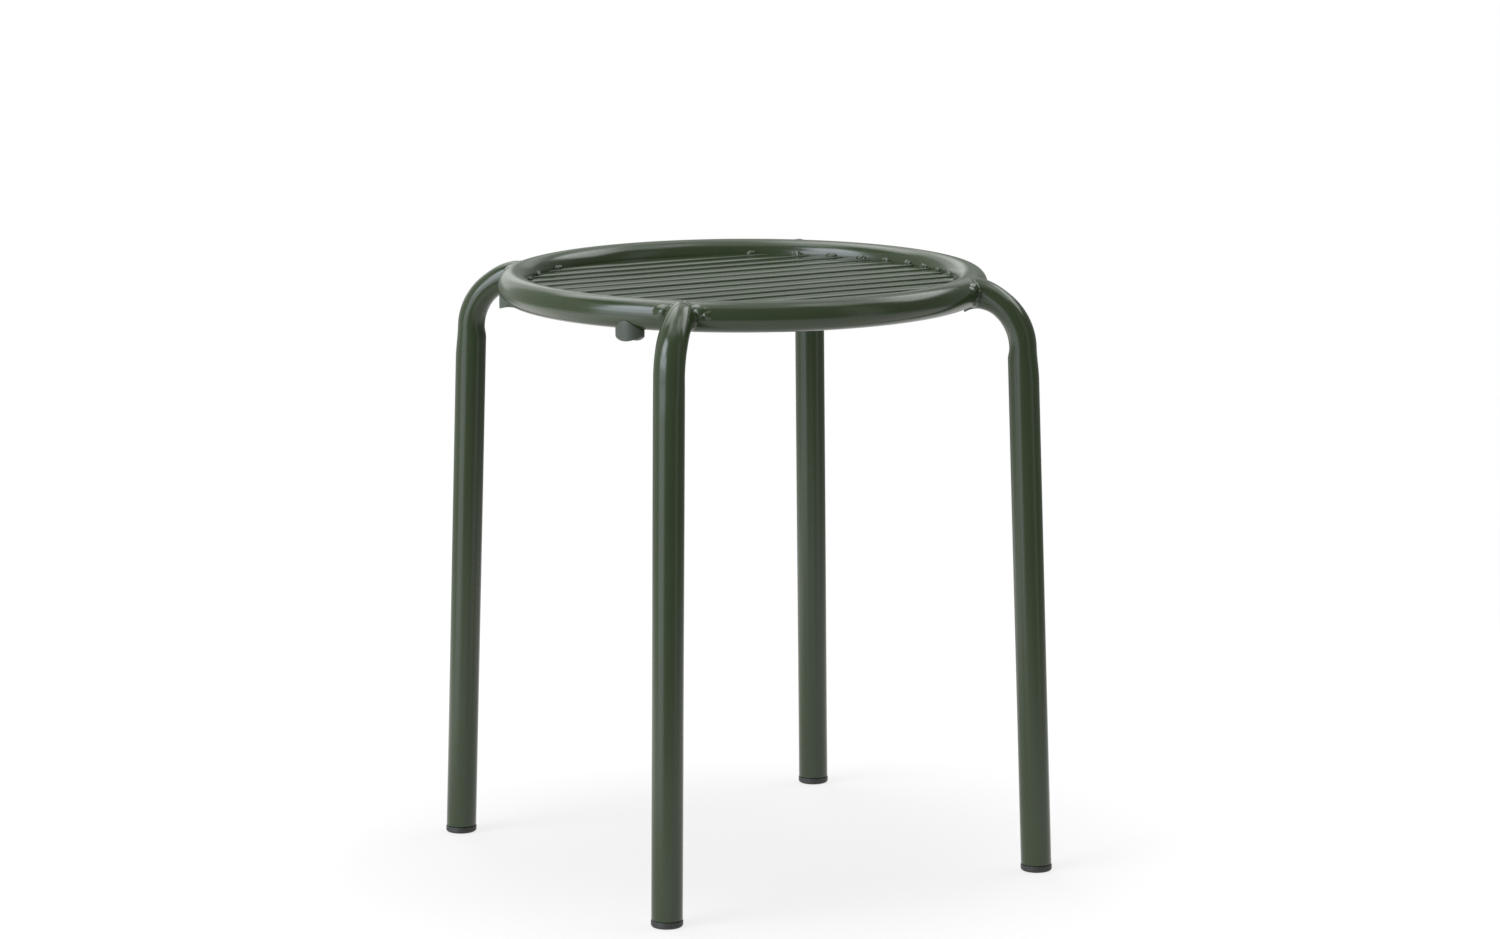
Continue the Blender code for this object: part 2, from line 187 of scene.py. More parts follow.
# Light panels: azimuth, half width, elevation, half height, softness, radiance, tint.
PANELS = {
    "walls": (0.0, 400.0, 0.0, 200.0, 5.0, 0.30, (0.95, 1.03, 0.94)),
    "key_top": (-60.0, 17.0, 45.0, 11.0, 4.0, 7.4, (0.92, 0.98, 1.09)),
    "key_middle": (-52.0, 22.0, 24.0, 10.0, 5.0, 5.6, (0.92, 0.98, 1.09)),
    "key_low": (-49.0, 22.0, 5.0, 10.0, 5.0, 2.6, (0.92, 0.98, 1.09)),
    "key_foot": (-54.0, 20.0, -13.0, 8.0, 6.0, 1.4, (0.92, 0.98, 1.09)),
    "top": (0.0, 400.0, 90.0, 22.0, 6.0, 1.0, (0.98, 1.0, 1.0)),
    "top_left": (-149.0, 22.0, 57.0, 16.0, 4.0, 2.8, (0.97, 1.0, 1.0)),
    "top_side": (-98.0, 30.0, 71.0, 9.0, 4.0, 1.7, (0.97, 1.0, 1.0)),
    "top_right": (100.0, 34.0, 66.0, 11.0, 4.0, 1.7, (0.98, 1.0, 1.0)),
    "top_back": (175.0, 34.0, 50.0, 15.0, 5.0, 1.0, (1.0, 1.0, 1.0)),
    "back_right": (122.0, 26.0, 43.0, 11.0, 4.0, 3.6, (0.98, 1.0, 1.0)),
    "back_left": (-160.0, 15.0, 22.0, 20.0, 4.0, 0.9, (1.0, 1.0, 1.0)),
    "back": (177.0, 22.0, 20.5, 7.0, 2.5, 0.55, (0.97, 1.0, 1.0)),
    "wall_left": (-110.0, 40.0, 16.0, 28.0, 6.0, 0.4, (1.0, 1.0, 1.0)),
    "slot_right": (60.0, 9.0, 8.0, 34.0, 6.0, 0.45, (1.0, 1.0, 1.0)),
    "low_left": (-95.0, 45.0, -32.0, 18.0, 5.0, 1.1, (1.0, 1.0, 1.0)),
    "low": (0.0, 400.0, -60.0, 38.0, 8.0, 0.7, (1.0, 1.0, 1.0)),
}


# ---- Mesh helpers -------------------------------------------------------------------------------
def add_piece(name, verts, faces, material, nodes=(), sharp=40.0):
    """A smooth mesh piece that rides on the one body and stands for the given CAD nodes."""
    mesh = bpy.data.meshes.new(name)
    mesh.from_pydata([tuple(v) for v in verts], [], [tuple(f) for f in faces])
    mesh.validate()
    mesh.shade_smooth()
    mesh.set_sharp_from_angle(angle=math.radians(sharp))
    mesh.materials.append(material)
    obj = bpy.data.objects.new(name, mesh)
    bpy.context.scene.collection.objects.link(obj)
    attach(obj, "root")
    if nodes:
        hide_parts(*nodes)
    return obj


def circle(steps):
    """Evenly spaced angles of one turn."""
    return 2.0 * math.pi * np.arange(steps) / steps


def smoothstep(value):
    t = np.clip(value, 0.0, 1.0)
    return t * t * (3.0 - 2.0 * t)


def sweep_mesh(loops, closed):
    """Vertices and faces of a skin over loops of points; open sweeps get a fan at each end."""
    loops = np.asarray(loops, float)
    count, steps, _ = loops.shape
    verts = loops.reshape(-1, 3).tolist()
    faces = []
    for k in range(count if closed else count - 1):
        first = k * steps
        second = ((k + 1) % count) * steps
        for i in range(steps):
            j = (i + 1) % steps
            faces.append((first + i, first + j, second + j, second + i))
    if not closed:
        add_fan(verts, faces, loops[0], 0, True)
        add_fan(verts, faces, loops[-1], (count - 1) * steps, False)
    return verts, faces


def add_fan(verts, faces, loop, first, flip):
    """Closes a loop whose points start at the given vertex with triangles to its middle."""
    centre = len(verts)
    steps = len(loop)
    verts.append(loop.mean(0).tolist())
    for i in range(steps):
        a, b = first + i, first + (i + 1) % steps
        faces.append((b, a, centre) if flip else (a, b, centre))


def joined(parts):
    """Several closed meshes as one list of vertices and one of faces."""
    verts, faces = [], []
    for part, part_faces in parts:
        start = len(verts)
        verts += part
        faces += [tuple(i + start for i in face) for face in part_faces]
    return verts, faces


def turned(points, angle):
    """Points turned about the vertical axis."""
    points = np.asarray(points, float)
    c, s = math.cos(angle), math.sin(angle)
    out = points.copy()
    out[..., 0] = c * points[..., 0] - s * points[..., 1]
    out[..., 1] = s * points[..., 0] + c * points[..., 1]
    return out


def outward(verts, faces):
    """Faces turned so that the closed mesh encloses a positive volume."""
    pts = np.asarray(verts, float)
    volume = 0.0
    for face in faces:
        a = pts[face[0]]
        for k in range(1, len(face) - 1):
            volume += np.dot(a, np.cross(pts[face[k]], pts[face[k + 1]]))
    return faces if volume > 0.0 else [tuple(reversed(face)) for face in faces]


# ---- Node helpers -------------------------------------------------------------------------------
def math_node(tree, operation, first, second=None):
    node = tree.nodes.new("ShaderNodeMath")
    node.operation = operation
    for socket, value in zip(node.inputs, (first, second)):
        if isinstance(value, (int, float)):
            socket.default_value = value
        elif value is not None:
            tree.links.new(value, socket)
    return node.outputs["Value"]


def map_range(tree, source, source_range, result_range, smooth=False):
    """A value moved from one range to another."""
    node = tree.nodes.new("ShaderNodeMapRange")
    if smooth:
        node.interpolation_type = "SMOOTHSTEP"
    node.inputs["From Min"].default_value = source_range[0]
    node.inputs["From Max"].default_value = source_range[1]
    node.inputs["To Min"].default_value = result_range[0]
    node.inputs["To Max"].default_value = result_range[1]
    tree.links.new(source, node.inputs["Value"])
    return node.outputs["Result"]


def noise(tree, coords, scale, detail, rough=0.5):
    node = tree.nodes.new("ShaderNodeTexNoise")
    node.inputs["Scale"].default_value = scale
    node.inputs["Detail"].default_value = detail
    node.inputs["Roughness"].default_value = rough
    tree.links.new(coords.outputs["Object"], node.inputs["Vector"])
    return node.outputs["Fac"]


def ramp(tree, source, low, high, dark, light):
    """Colour ramp between two colours over part of a texture's range."""
    node = tree.nodes.new("ShaderNodeValToRGB")
    node.color_ramp.elements[0].position = low
    node.color_ramp.elements[0].color = dark
    node.color_ramp.elements[1].position = high
    node.color_ramp.elements[1].color = light
    tree.links.new(source, node.inputs["Fac"])
    return node.outputs["Color"]


def multiply(tree, first, second):
    """Product of two colours."""
    node = tree.nodes.new("ShaderNodeMix")
    node.data_type = "RGBA"
    node.blend_type = "MULTIPLY"
    node.inputs["Factor"].default_value = 1.0
    tree.links.new(first, node.inputs["A"])
    tree.links.new(second, node.inputs["B"])
    return node.outputs["Result"]


def bumps(tree, shader, heights):
    """Chain of bumps: (height output, distance, strength)."""
    last = None
    for height, distance, strength in heights:
        node = tree.nodes.new("ShaderNodeBump")
        node.inputs["Distance"].default_value = distance
        node.inputs["Strength"].default_value = strength
        tree.links.new(height, node.inputs["Height"])
        if last:
            tree.links.new(last.outputs["Normal"], node.inputs["Normal"])
        last = node
    tree.links.new(last.outputs["Normal"], shader.inputs["Normal"])


# ---- Materials ----------------------------------------------------------------------------------

def new_material(name, specular):
    mat = bpy.data.materials.new(name)
    mat.use_nodes = True
    tree = mat.node_tree
    shader = tree.nodes["Principled BSDF"]
    shader.inputs["Specular IOR Level"].default_value = specular
    coords = tree.nodes.new("ShaderNodeTexCoord")
    return mat, tree, shader, coords


def powder_coat(name, roughness):
    """Satin dark green powder coat: slight orange peel, fine grain, faint colour drift."""
    mat, tree, shader, coords = new_material(name, specular=0.5)
    drift = noise(tree, coords, scale=14.0, detail=3.0)
    grain = noise(tree, coords, scale=1500.0, detail=2.0)
    peel = noise(tree, coords, scale=420.0, detail=2.0, rough=0.55)
    base = ramp(tree, drift, *TEXTURE_MIDDLE, COAT_DARK, COAT_LIGHT)
    speck = ramp(tree, grain, 0.35, 0.75, (0.96, 0.96, 0.96, 1), (1.05, 1.05, 1.05, 1))
    tree.links.new(multiply(tree, base, speck), shader.inputs["Base Color"])
    rough = map_range(tree, peel, TEXTURE_MIDDLE, roughness)
    tree.links.new(rough, shader.inputs["Roughness"])
    bumps(tree, shader, ((peel, 0.00003, 0.5), (grain, 0.000006, 0.5)))
    return mat


def moulded_plastic(name, dark, light, roughness):
    """Matte moulded plastic with a fine spark-eroded grain."""
    mat, tree, shader, coords = new_material(name, specular=0.45)
    drift = noise(tree, coords, scale=90.0, detail=3.0)
    grain = noise(tree, coords, scale=2600.0, detail=3.0, rough=0.6)
    tree.links.new(ramp(tree, drift, *TEXTURE_MIDDLE, dark, light), shader.inputs["Base Color"])
    rough = map_range(tree, grain, TEXTURE_MIDDLE, roughness)
    tree.links.new(rough, shader.inputs["Roughness"])
    bumps(tree, shader, ((grain, 0.00003, 0.7),))
    return mat


# ---- Ring ---------------------------------------------------------------------------------------
def make_ring(material):
    steps, around = 288, 56
    turn, ang = circle(steps), circle(around)
    reach = RING_R + TUBE_R * np.cos(ang)
    loops = np.empty((steps, around, 3))
    loops[..., 0] = np.cos(turn)[:, None] * reach
    loops[..., 1] = np.sin(turn)[:, None] * reach
    loops[..., 2] = RING_Z + TUBE_R * np.sin(ang)
    verts, faces = sweep_mesh(loops, True)
    return add_piece("ring_tube", verts, outward(verts, faces), material, ["seat_ring"])


def ring_gap(point):
    """Distance from the ring's surface."""
    return math.hypot(math.hypot(point[0], point[1]) - RING_R, point[2] - RING_Z) - TUBE_R


def ring_normal(point):
    flat = math.hypot(point[0], point[1])
    n = np.array([
        (flat - RING_R) * point[0] / flat, (flat - RING_R) * point[1] / flat, point[2] - RING_Z
    ])
    return n / np.linalg.norm(n)


# ---- Legs ---------------------------------------------------------------------------------------
# Each leg is made along +X and turned to its corner.
def squash(turn):
    """Share of the full squash at a turn of the bend."""
    rise = smoothstep((turn - BEND_ROUND_T) / (BEND_FLAT_T - BEND_ROUND_T))
    fade = smoothstep((turn - BEND_FLAT_T) / (BEND_END - BEND_FLAT_T))
    return rise * (1.0 - (1.0 - PINCH_LEFT) * fade)


def leg_axis(run):
    """A point of the axis near the ring: run is the distance along it from the bend's start."""
    turn = max(run, 0.0) / BEND_R
    return np.array([
        BEND_TOP_R + min(run, 0.0) + BEND_R * math.sin(turn), 0.0,
        RING_Z - BEND_R + BEND_R * math.cos(turn)
    ])


def leg_point(run, around, shrink=0.0):
    """A point of the leg's skin at the same distance, at an angle round the tube."""
    turn = max(run, 0.0) / BEND_R
    thin = TUBE_R * (1.0 - BEND_THIN * squash(turn)) - shrink
    wide = TUBE_R * (1.0 - NECK_THIN * (1.0 - smoothstep(turn / NECK_T))) - shrink
    reach = BEND_R + thin * np.cos(around)
    return np.stack([
        BEND_TOP_R + min(run, 0.0) + reach * math.sin(turn),
        wide * np.sin(around),
        RING_Z - BEND_R + reach * math.cos(turn),
    ], axis=-1)


def leg_normal(run, around):
    step = 1e-5
    along = leg_point(run + step, around) - leg_point(run - step, around)
    across = leg_point(run, around + step * 50) - leg_point(run, around - step * 50)
    n = np.cross(across, along)
    n = n / np.linalg.norm(n)
    return n if np.dot(n, leg_point(run, around) - leg_axis(run)) > 0 else -n


def pinched(run, around):
    """Half depth of the tube below the bend: full again soon inside, more gently outside."""
    inside = PINCH_LEFT * (1.0 - smoothstep(run / PINCH_RUN))
    outside = PINCH_LEFT * (1.0 - smoothstep(run / OUTER_RUN))
    share = inside + (outside - inside) * smoothstep(0.5 + np.cos(around))
    return TUBE_R * (1.0 - BEND_THIN * share)


def level_loop(z, radius, around):
    """A level loop round the axis of the straight leg."""
    x = FOOT_AXIS_R - math.tan(LEAN) * z
    return np.stack([
        x + radius * np.cos(around), radius * np.sin(around), np.full_like(around, z)
    ], axis=-1)


def bend_loops(around, rows=60):
    """Loops from inside the ring to the end of the bend."""
    start = RING_R - BEND_TOP_R
    loops = []
    for k in range(rows + 1):
        run = start + (BEND_END * BEND_R - start) * k / rows
        shrink = CUT_EDGE * (1.0 - smoothstep((run - start) / CUT_RUN))
        loops.append(leg_point(run, around, float(shrink)))
    return loops


def pinch_loops(around, rows=12):
    """Loops across the axis where the inner side gets round again."""
    out = np.array([math.cos(LEAN), 0.0, math.sin(LEAN)])
    down = np.array([math.sin(LEAN), 0.0, -math.cos(LEAN)])
    side = np.array([0.0, 1.0, 0.0])
    loops = []
    for k in range(1, rows + 1):
        run = PINCH_RUN * k / rows
        centre = leg_axis(BEND_END * BEND_R) + down * run
        depth = pinched(run, around) * np.cos(around)
        loops.append(centre + np.outer(depth, out) + np.outer(TUBE_R * np.sin(around), side))
    return loops


def straight_loops(around, rows=40, edge_rows=4):
    """Level loops of the straight run, down to the rounded lower edge."""
    bend_z = float(leg_axis(BEND_END * BEND_R)[2])
    top_z = bend_z - PINCH_RUN
    loops = []
    for k in range(1, rows + 1):
        z = top_z + (FOOT_TOP + CUT_EDGE - top_z) * (k / rows) ** STRAIGHT_SPACING
        loop = level_loop(z, TUBE_R, around)
        loop[:, 0] += (pinched(bend_z - z, around) - TUBE_R) * np.cos(around)
        loops.append(loop)
    for k in range(1, edge_rows + 1):
        turn = 0.5 * math.pi * k / edge_rows
        radius = TUBE_R - CUT_EDGE * (1.0 - math.cos(turn))
        loops.append(level_loop(FOOT_TOP + CUT_EDGE * (1.0 - math.sin(turn)), radius, around))
    return loops


def make_leg(corner, material):
    around = circle(LEG_STEPS)
    loops = bend_loops(around) + pinch_loops(around) + straight_loops(around)
    verts, faces = sweep_mesh(turned(loops, LEG_ANGLES[corner]), False)
    return add_piece(
        "leg_tube_" + corner, verts, outward(verts, faces), material, ["leg_" + corner]
    )


# ---- Welds --------------------------------------------------------------------------------------
def rough_lift(point, scale, height):
    """Uneven height of cooled weld metal under the coat."""
    place = Vector(point) * scale
    return height * (perlin.noise(place) + 0.5 * perlin.noise(place * WELD_GRAIN_RATIO))


def meeting_run(around):
    """How far along the leg its skin leaves the ring."""
    low, high = RING_R - BEND_TOP_R, 0.03
    for _ in range(40):
        middle = 0.5 * (low + high)
        if ring_gap(leg_point(middle, around)) < 0.0:
            low = middle
        else:
            high = middle
    return high


def seam():
    """The smoothed line where a leg meets the ring, and both skins' normals along it."""
    path, leg_normals, ring_normals = [], [], []
    for around in circle(BEAD_COUNT).tolist():
        run = meeting_run(around)
        point = leg_point(run, around)
        path.append(point)
        leg_normals.append(leg_normal(run, around))
        ring_normals.append(ring_normal(point))
    path = np.array(path)
    for _ in range(BEAD_SMOOTHING):
        path = 0.5 * path + 0.25 * (np.roll(path, 1, 0) + np.roll(path, -1, 0))
    return path, leg_normals, ring_normals


def drift_at(wobble, k):
    """Slow change of the bead between random values spaced evenly round it."""
    count = len(wobble)
    slow = count * k / BEAD_COUNT
    i = int(slow) % count
    share = float(smoothstep(slow - int(slow)))
    return wobble[i] * (1 - share) + wobble[(i + 1) % count] * share


def bead_loops(wobble, shift):
    """Loops of the smooth uneven bead round the joint of a leg and the ring."""
    path, leg_normals, ring_normals = seam()
    tangents = np.roll(path, -1, 0) - np.roll(path, 1, 0)
    lengths = np.linalg.norm(np.roll(path, -1, 0) - path, axis=1)
    along = np.concatenate([[0.0], np.cumsum(lengths)[:-1]])
    total = float(lengths.sum())
    pitch = total / round(total / BEAD_PITCH)
    loops = []
    for k, point in enumerate(path):
        tangent = tangents[k] / np.linalg.norm(tangents[k])
        level = float(np.clip(np.dot(leg_normals[k], ring_normals[k]), 0.0, 1.0))
        out = leg_normals[k] + ring_normals[k]
        out = out - tangent * np.dot(out, tangent)
        out = out / np.linalg.norm(out)
        side = np.cross(tangent, out)
        drift = drift_at(wobble, k)
        proud = (BEAD_PROUD + BEAD_DRIFT * drift) * (1.0 - level) + BEAD_PROUD_LEVEL * level
        radius = BEAD_RADIUS + BEAD_DRIFT * drift
        centre = point + out * (proud - radius)
        loop = []
        for ang in circle(BEAD_STEPS).tolist():
            outer = point + out * (math.cos(ang) * radius) + side * (math.sin(ang) * radius)
            wave = 2.0 * math.pi * (along[k] / pitch + BEAD_BOW * math.sin(ang) ** 2) + drift
            lift = BEAD_RIPPLE * math.sin(wave) + rough_lift(outer + shift, BEAD_GRAIN, BEAD_ROUGH)
            r = radius + (lift * (1.0 - BEAD_CALM * level) if math.cos(ang) > WELD_FRONT else 0.0)
            loop.append(centre + out * (r * math.cos(ang)) + side * (r * BEAD_WIDEN * math.sin(ang)))
        loops.append(loop)
    return loops


def lump_loop(offset, up, size, share, shift, top):
    """One oval of a lump, at a share of its radius: on its top, or on its hidden bottom."""
    ang = circle(40)
    turn = (offset + LUMP_STRETCH * size * share * np.cos(ang)) / (RING_R + TUBE_R)
    tilt = up + size * share * np.sin(ang) / TUBE_R
    away = np.stack([np.cos(tilt) * np.cos(turn), np.cos(tilt) * np.sin(turn), np.sin(tilt)], -1)
    core = np.stack([RING_R * np.cos(turn), RING_R * np.sin(turn), np.full_like(ang, RING_Z)], -1)
    rise = LUMP_HEIGHT * size * (0.5 + 0.5 * math.cos(math.pi * share)) - LUMP_SUNK * share
    loop = []
    for middle, way in zip(core, away):
        spot = middle + way * TUBE_R
        lift = rise + (1.0 - share) * rough_lift(spot + shift, LUMP_GRAIN, LUMP_ROUGH)
        loop.append(spot + way * (lift if top else LUMP_BOTTOM))
    return loop


def ring_lump(offset, up, size, shift, rows=14):
    """A low lump of weld metal that runs out smoothly on the ring's outer side."""
    tops = [max(k / rows, LUMP_TIP) for k in range(rows + 1)]
    loops = [lump_loop(offset, up, size, share, shift, True) for share in tops]
    bottoms = (0.98, 0.5, LUMP_TIP)
    loops += [lump_loop(offset, up, size, share, shift, False) for share in bottoms]
    verts, faces = sweep_mesh(loops, False)
    return verts, outward(verts, faces)


def make_leg_weld(corner, material, rng):
    """The bead round a leg's joint, with the lumps of its start and stop."""
    wobble = [rng.uniform(-1, 1) for _ in range(BEAD_DRIFTS)]
    shift = rng.uniform(0.0, 5.0)
    verts, faces = sweep_mesh(bead_loops(wobble, shift), True)
    parts = [(verts, outward(verts, faces))]
    for offset, up, size in LUMPS:
        place = LUMP_SIDE[corner] * (offset + rng.uniform(-LUMP_PLACE_SPREAD, LUMP_PLACE_SPREAD))
        height = up + rng.uniform(-LUMP_TILT_SPREAD, LUMP_TILT_SPREAD)
        parts.append(ring_lump(place, height, size * rng.uniform(*LUMP_SIZES), shift))
    verts, faces = joined(parts)
    verts = turned(verts, LEG_ANGLES[corner]).tolist()
    return add_piece("leg_weld_" + corner, verts, faces, material, sharp=75.0)


def slat_weld_loops(side, middle_y, slat_top, rng):
    """Short lumpy bead in the corner of a slat's end and the ring."""
    rows = 40
    wall = RING_R - math.sqrt(TUBE_R ** 2 - (slat_top - RING_Z) ** 2)
    length = rng.uniform(*SLAT_WELD_LENGTHS)
    middle = math.asin(middle_y / wall) + rng.uniform(-SLAT_WELD_SPREAD, SLAT_WELD_SPREAD) / wall
    size = rng.uniform(*SLAT_WELD_SIZES)
    shift = rng.uniform(0.0, 9.0)
    loops = []
    for k in range(rows + 1):
        share = k / rows
        turn = middle + length * (share - 0.5) / wall
        point = np.array([side * wall * math.cos(turn), wall * math.sin(turn), slat_top])
        inward = np.array([-point[0], -point[1], 0.0]) / wall
        out = inward * SLAT_WELD_TILT + np.array([0.0, 0.0, 1.0])
        out = out / np.linalg.norm(out)
        across = np.cross(np.array([-inward[1], inward[0], 0.0]), out)
        end = max(1.0 - abs(2.0 * share - 1.0) ** SLAT_WELD_BLUNT, 0.0) ** 0.5
        radius = SLAT_WELD_RADIUS * size * (SLAT_WELD_END + (1.0 - SLAT_WELD_END) * end)
        centre = point + out * (SLAT_WELD_PROUD * size * end + SLAT_WELD_BASE - radius)
        loop = []
        for ang in circle(22).tolist():
            way = out * math.cos(ang) + across * math.sin(ang)
            place = point + way * radius + shift
            lift = rough_lift(place, SLAT_WELD_GRAIN, SLAT_WELD_ROUGH * end)
            loop.append(centre + way * (radius + (lift if math.cos(ang) > WELD_FRONT else 0.0)))
        loops.append(loop)
    return loops


# ---- Slats --------------------------------------------------------------------------------------
def slat_outline(half_w, half_t):
    """Cross-section of a slat with rounded edges: (across, up)."""
    outline = []
    for corner in range(4):
        side_y = 1.0 if corner in (0, 3) else -1.0
        side_z = 1.0 if corner in (0, 1) else -1.0
        for k in range(6):
            turn = 0.5 * math.pi * (corner + k / 5)
            outline.append((
                side_y * (half_w - SLAT_EDGE) + SLAT_EDGE * math.cos(turn),
                side_z * (half_t - SLAT_EDGE) + SLAT_EDGE * math.sin(turn),
            ))
    return outline


def slat_loops(outline, middle_y, middle_z, tilt, rows=12):
    """Loops from one end of a slat to the other; the ends follow the ring's inner side."""
    reach = RING_R - TUBE_R + SLAT_INTO_RING
    loops = []
    for k in range(rows + 1):
        share = 2.0 * k / rows - 1.0
        loop = []
        for across, up in outline:
            y = middle_y + across
            half = math.sqrt(reach * reach - y * y)
            loop.append((share * half, y - tilt * up, middle_z + up + tilt * across))
        loops.append(loop)
    return loops


def make_slat(node, material, weld_material, rng):
    """A flat bar, its ends run into the ring, and its two end welds."""
    low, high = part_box(node)
    middle_y = 0.5 * (low.y + high.y)
    half_w = 0.5 * (high.y - low.y)
    half_t = 0.5 * (high.z - low.z)
    middle_z = 0.5 * (low.z + high.z) + rng.uniform(-SLAT_LIFT, SLAT_LIFT)
    tilt = rng.uniform(-SLAT_TILT, SLAT_TILT)
    loops = slat_loops(slat_outline(half_w, half_t), middle_y, middle_z, tilt)
    verts, faces = sweep_mesh(loops, False)
    add_piece("seat_" + node, verts, outward(verts, faces), material, [node], sharp=50.0)
    parts = []
    for side in (-1.0, 1.0):
        weld = slat_weld_loops(side, middle_y, middle_z + half_t, rng)
        verts, faces = sweep_mesh(weld, False)
        parts.append((verts, outward(verts, faces)))
    verts, faces = joined(parts)
    add_piece("slat_welds_" + node[-2:], verts, faces, weld_material, sharp=80.0)


# ---- Pads and feet ------------------------------------------------------------------------------
def pad_loop(inset, share, height):
    """An oval of a pad, inset from its outline and drawn in by a share, at the height of a surface."""
    ang = circle(64)
    x = RING_R + PAD_OUT + (PAD_HALF_RADIAL - inset) * share * np.cos(ang)
    y = (PAD_HALF_ALONG - inset) * share * np.sin(ang)
    return np.stack([x, y, height(np.hypot(x, y) - RING_R)], -1)


def make_pad(corner, material):
    """Oval block under the ring: saddle on top, groove below, softened edges."""
    low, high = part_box("stacking_pad_" + corner)
    centre = 0.5 * (low + high)
    rim_rows, edge_rows = 5, 8

    def saddle(across):
        return RING_Z - np.sqrt((TUBE_R + PAD_GAP) ** 2 - across ** 2)

    def groove(across):
        return GROOVE_TOP - GROOVE_R + np.sqrt(GROOVE_R ** 2 - (across - GROOVE_OUT) ** 2)

    loops = [pad_loop(PAD_RIM, share, saddle) for share in (0.02, 0.3, 0.6, 0.85)]
    for k in range(rim_rows + 1):
        turn = 0.5 * math.pi * k / rim_rows
        loop = pad_loop(PAD_RIM * (1.0 - math.sin(turn)), 1.0, saddle)
        loop[:, 2] -= PAD_RIM * (1.0 - math.cos(turn))
        loops.append(loop)
    for k in range(edge_rows + 1):
        turn = 0.5 * math.pi * k / edge_rows
        loop = pad_loop(PAD_EDGE * (1.0 - math.cos(turn)), 1.0, groove)
        loop[:, 2] += PAD_EDGE * (1.0 - math.sin(turn))
        loops.append(loop)
    loops += [pad_loop(PAD_EDGE, share, groove) for share in (0.85, 0.65, 0.45, 0.25, 0.02)]
    verts, faces = sweep_mesh(turned(loops, math.atan2(centre.y, centre.x)), False)
    return add_piece(
        "pad_block_" + corner, verts, outward(verts, faces), material,
        ["stacking_pad_" + corner],
    )


def foot_profile():
    """Radius and height of the foot plug, from the middle of its sole to the top of its body."""
    flange = FOOT_TOP - FOOT_GAP
    edge_rows = 8
    profile = [(0.35 * FOOT_R, 0.0), (0.7 * FOOT_R, 0.0)]
    for k in range(edge_rows + 1):
        turn = 0.5 * math.pi * k / edge_rows
        profile.append((
            FOOT_R - FOOT_EDGE + FOOT_EDGE * math.sin(turn), FOOT_EDGE - FOOT_EDGE * math.cos(turn)
        ))
    return profile + [
        (FOOT_R, FOOT_SEAM_Z - FOOT_SEAM_HALF),
        (FOOT_R - FOOT_SEAM, FOOT_SEAM_Z),
        (FOOT_R, FOOT_SEAM_Z + FOOT_SEAM_HALF),
        (FOOT_R, flange - FOOT_LIP),
        (FOOT_R - 0.0002, flange - 0.00017),
        (FOOT_R - FOOT_LIP, flange),
        (PLUG_R + 0.0002, flange),
        (PLUG_R, flange + 0.004),
        (PLUG_R - 0.0006, PLUG_TOP),
        (0.0040, PLUG_TOP),
    ]


def make_foot(corner, material):
    """Foot plug: rounded flange with a fine seam line, and the plug body inside the leg."""
    ang = circle(64)
    loops = [level_loop(z, radius, ang) for radius, z in foot_profile()]
    verts, faces = sweep_mesh(turned(loops, LEG_ANGLES[corner]), False)
    return add_piece(
        "foot_plug_" + corner, verts, outward(verts, faces), material, ["foot_" + corner]
    )


# ---- Camera, floor and light --------------------------------------------------------------------
def make_camera():
    data = bpy.data.cameras.new("camera")
    data.lens = CAMERA_LENS
    data.sensor_width = CAMERA_SENSOR
    data.clip_start = 0.1
    data.clip_end = 200.0
    cam = bpy.data.objects.new("camera", data)
    bpy.context.scene.collection.objects.link(cam)
    fwd = Vector((
        math.sin(CAMERA_YAW) * math.cos(CAMERA_PITCH),
        math.cos(CAMERA_YAW) * math.cos(CAMERA_PITCH),
        -math.sin(CAMERA_PITCH),
    ))
    right = Vector((math.cos(CAMERA_YAW), -math.sin(CAMERA_YAW), 0.0))
    up = right.cross(fwd)
    c, s = math.cos(CAMERA_ROLL), math.sin(CAMERA_ROLL)
    turn = Matrix.Rotation(CAMERA_AZIMUTH, 3, "Z")
    axes = turn @ Matrix((right * c + up * s, up * c - right * s, -fwd)).transposed()
    place = turn @ Vector((0.0, -CAMERA_DISTANCE, CAMERA_HEIGHT))
    cam.matrix_world = Matrix.Translation(place) @ axes.to_4x4()
    bpy.context.scene.camera = cam


def stage_direction(azimuth):
    """Level unit vector: azimuth in degrees, 0 towards the camera and positive to its right."""
    a = CAMERA_AZIMUTH + math.radians(azimuth)
    return Vector((math.sin(a), -math.cos(a), 0.0))


def stage_object(name, verts, faces, material):
    mesh = bpy.data.meshes.new(name)
    mesh.from_pydata(verts, [], faces)
    mesh.shade_smooth()
    mesh.materials.append(material)
    obj = bpy.data.objects.new(name, mesh)
    bpy.context.scene.collection.objects.link(obj)
    return obj


def floor_glow(tree, place, distance):
    """Floor brightness by place: brighter on the lit side (painted light), a little darker under the
    stool (painted shadow).
    """
    across = tree.nodes.new("ShaderNodeVectorMath")
    across.operation = "DOT_PRODUCT"
    across.inputs[1].default_value = stage_direction(LIT_AZIMUTH)
    tree.links.new(place, across.inputs[0])
    lit_levels = (FLOOR_GLOW, FLOOR_GLOW + PAINTED_LIGHT_GLOW)
    # painted pool of light on the lit side
    lit = map_range(tree, across.outputs["Value"], PAINTED_LIGHT_REACH, lit_levels, smooth=True)
    # painted shadow under the stool
    shade = map_range(tree, distance, PAINTED_SHADOW_REACH, (PAINTED_SHADOW_GLOW, 0.0), smooth=True)
    return math_node(tree, "SUBTRACT", lit, shade)


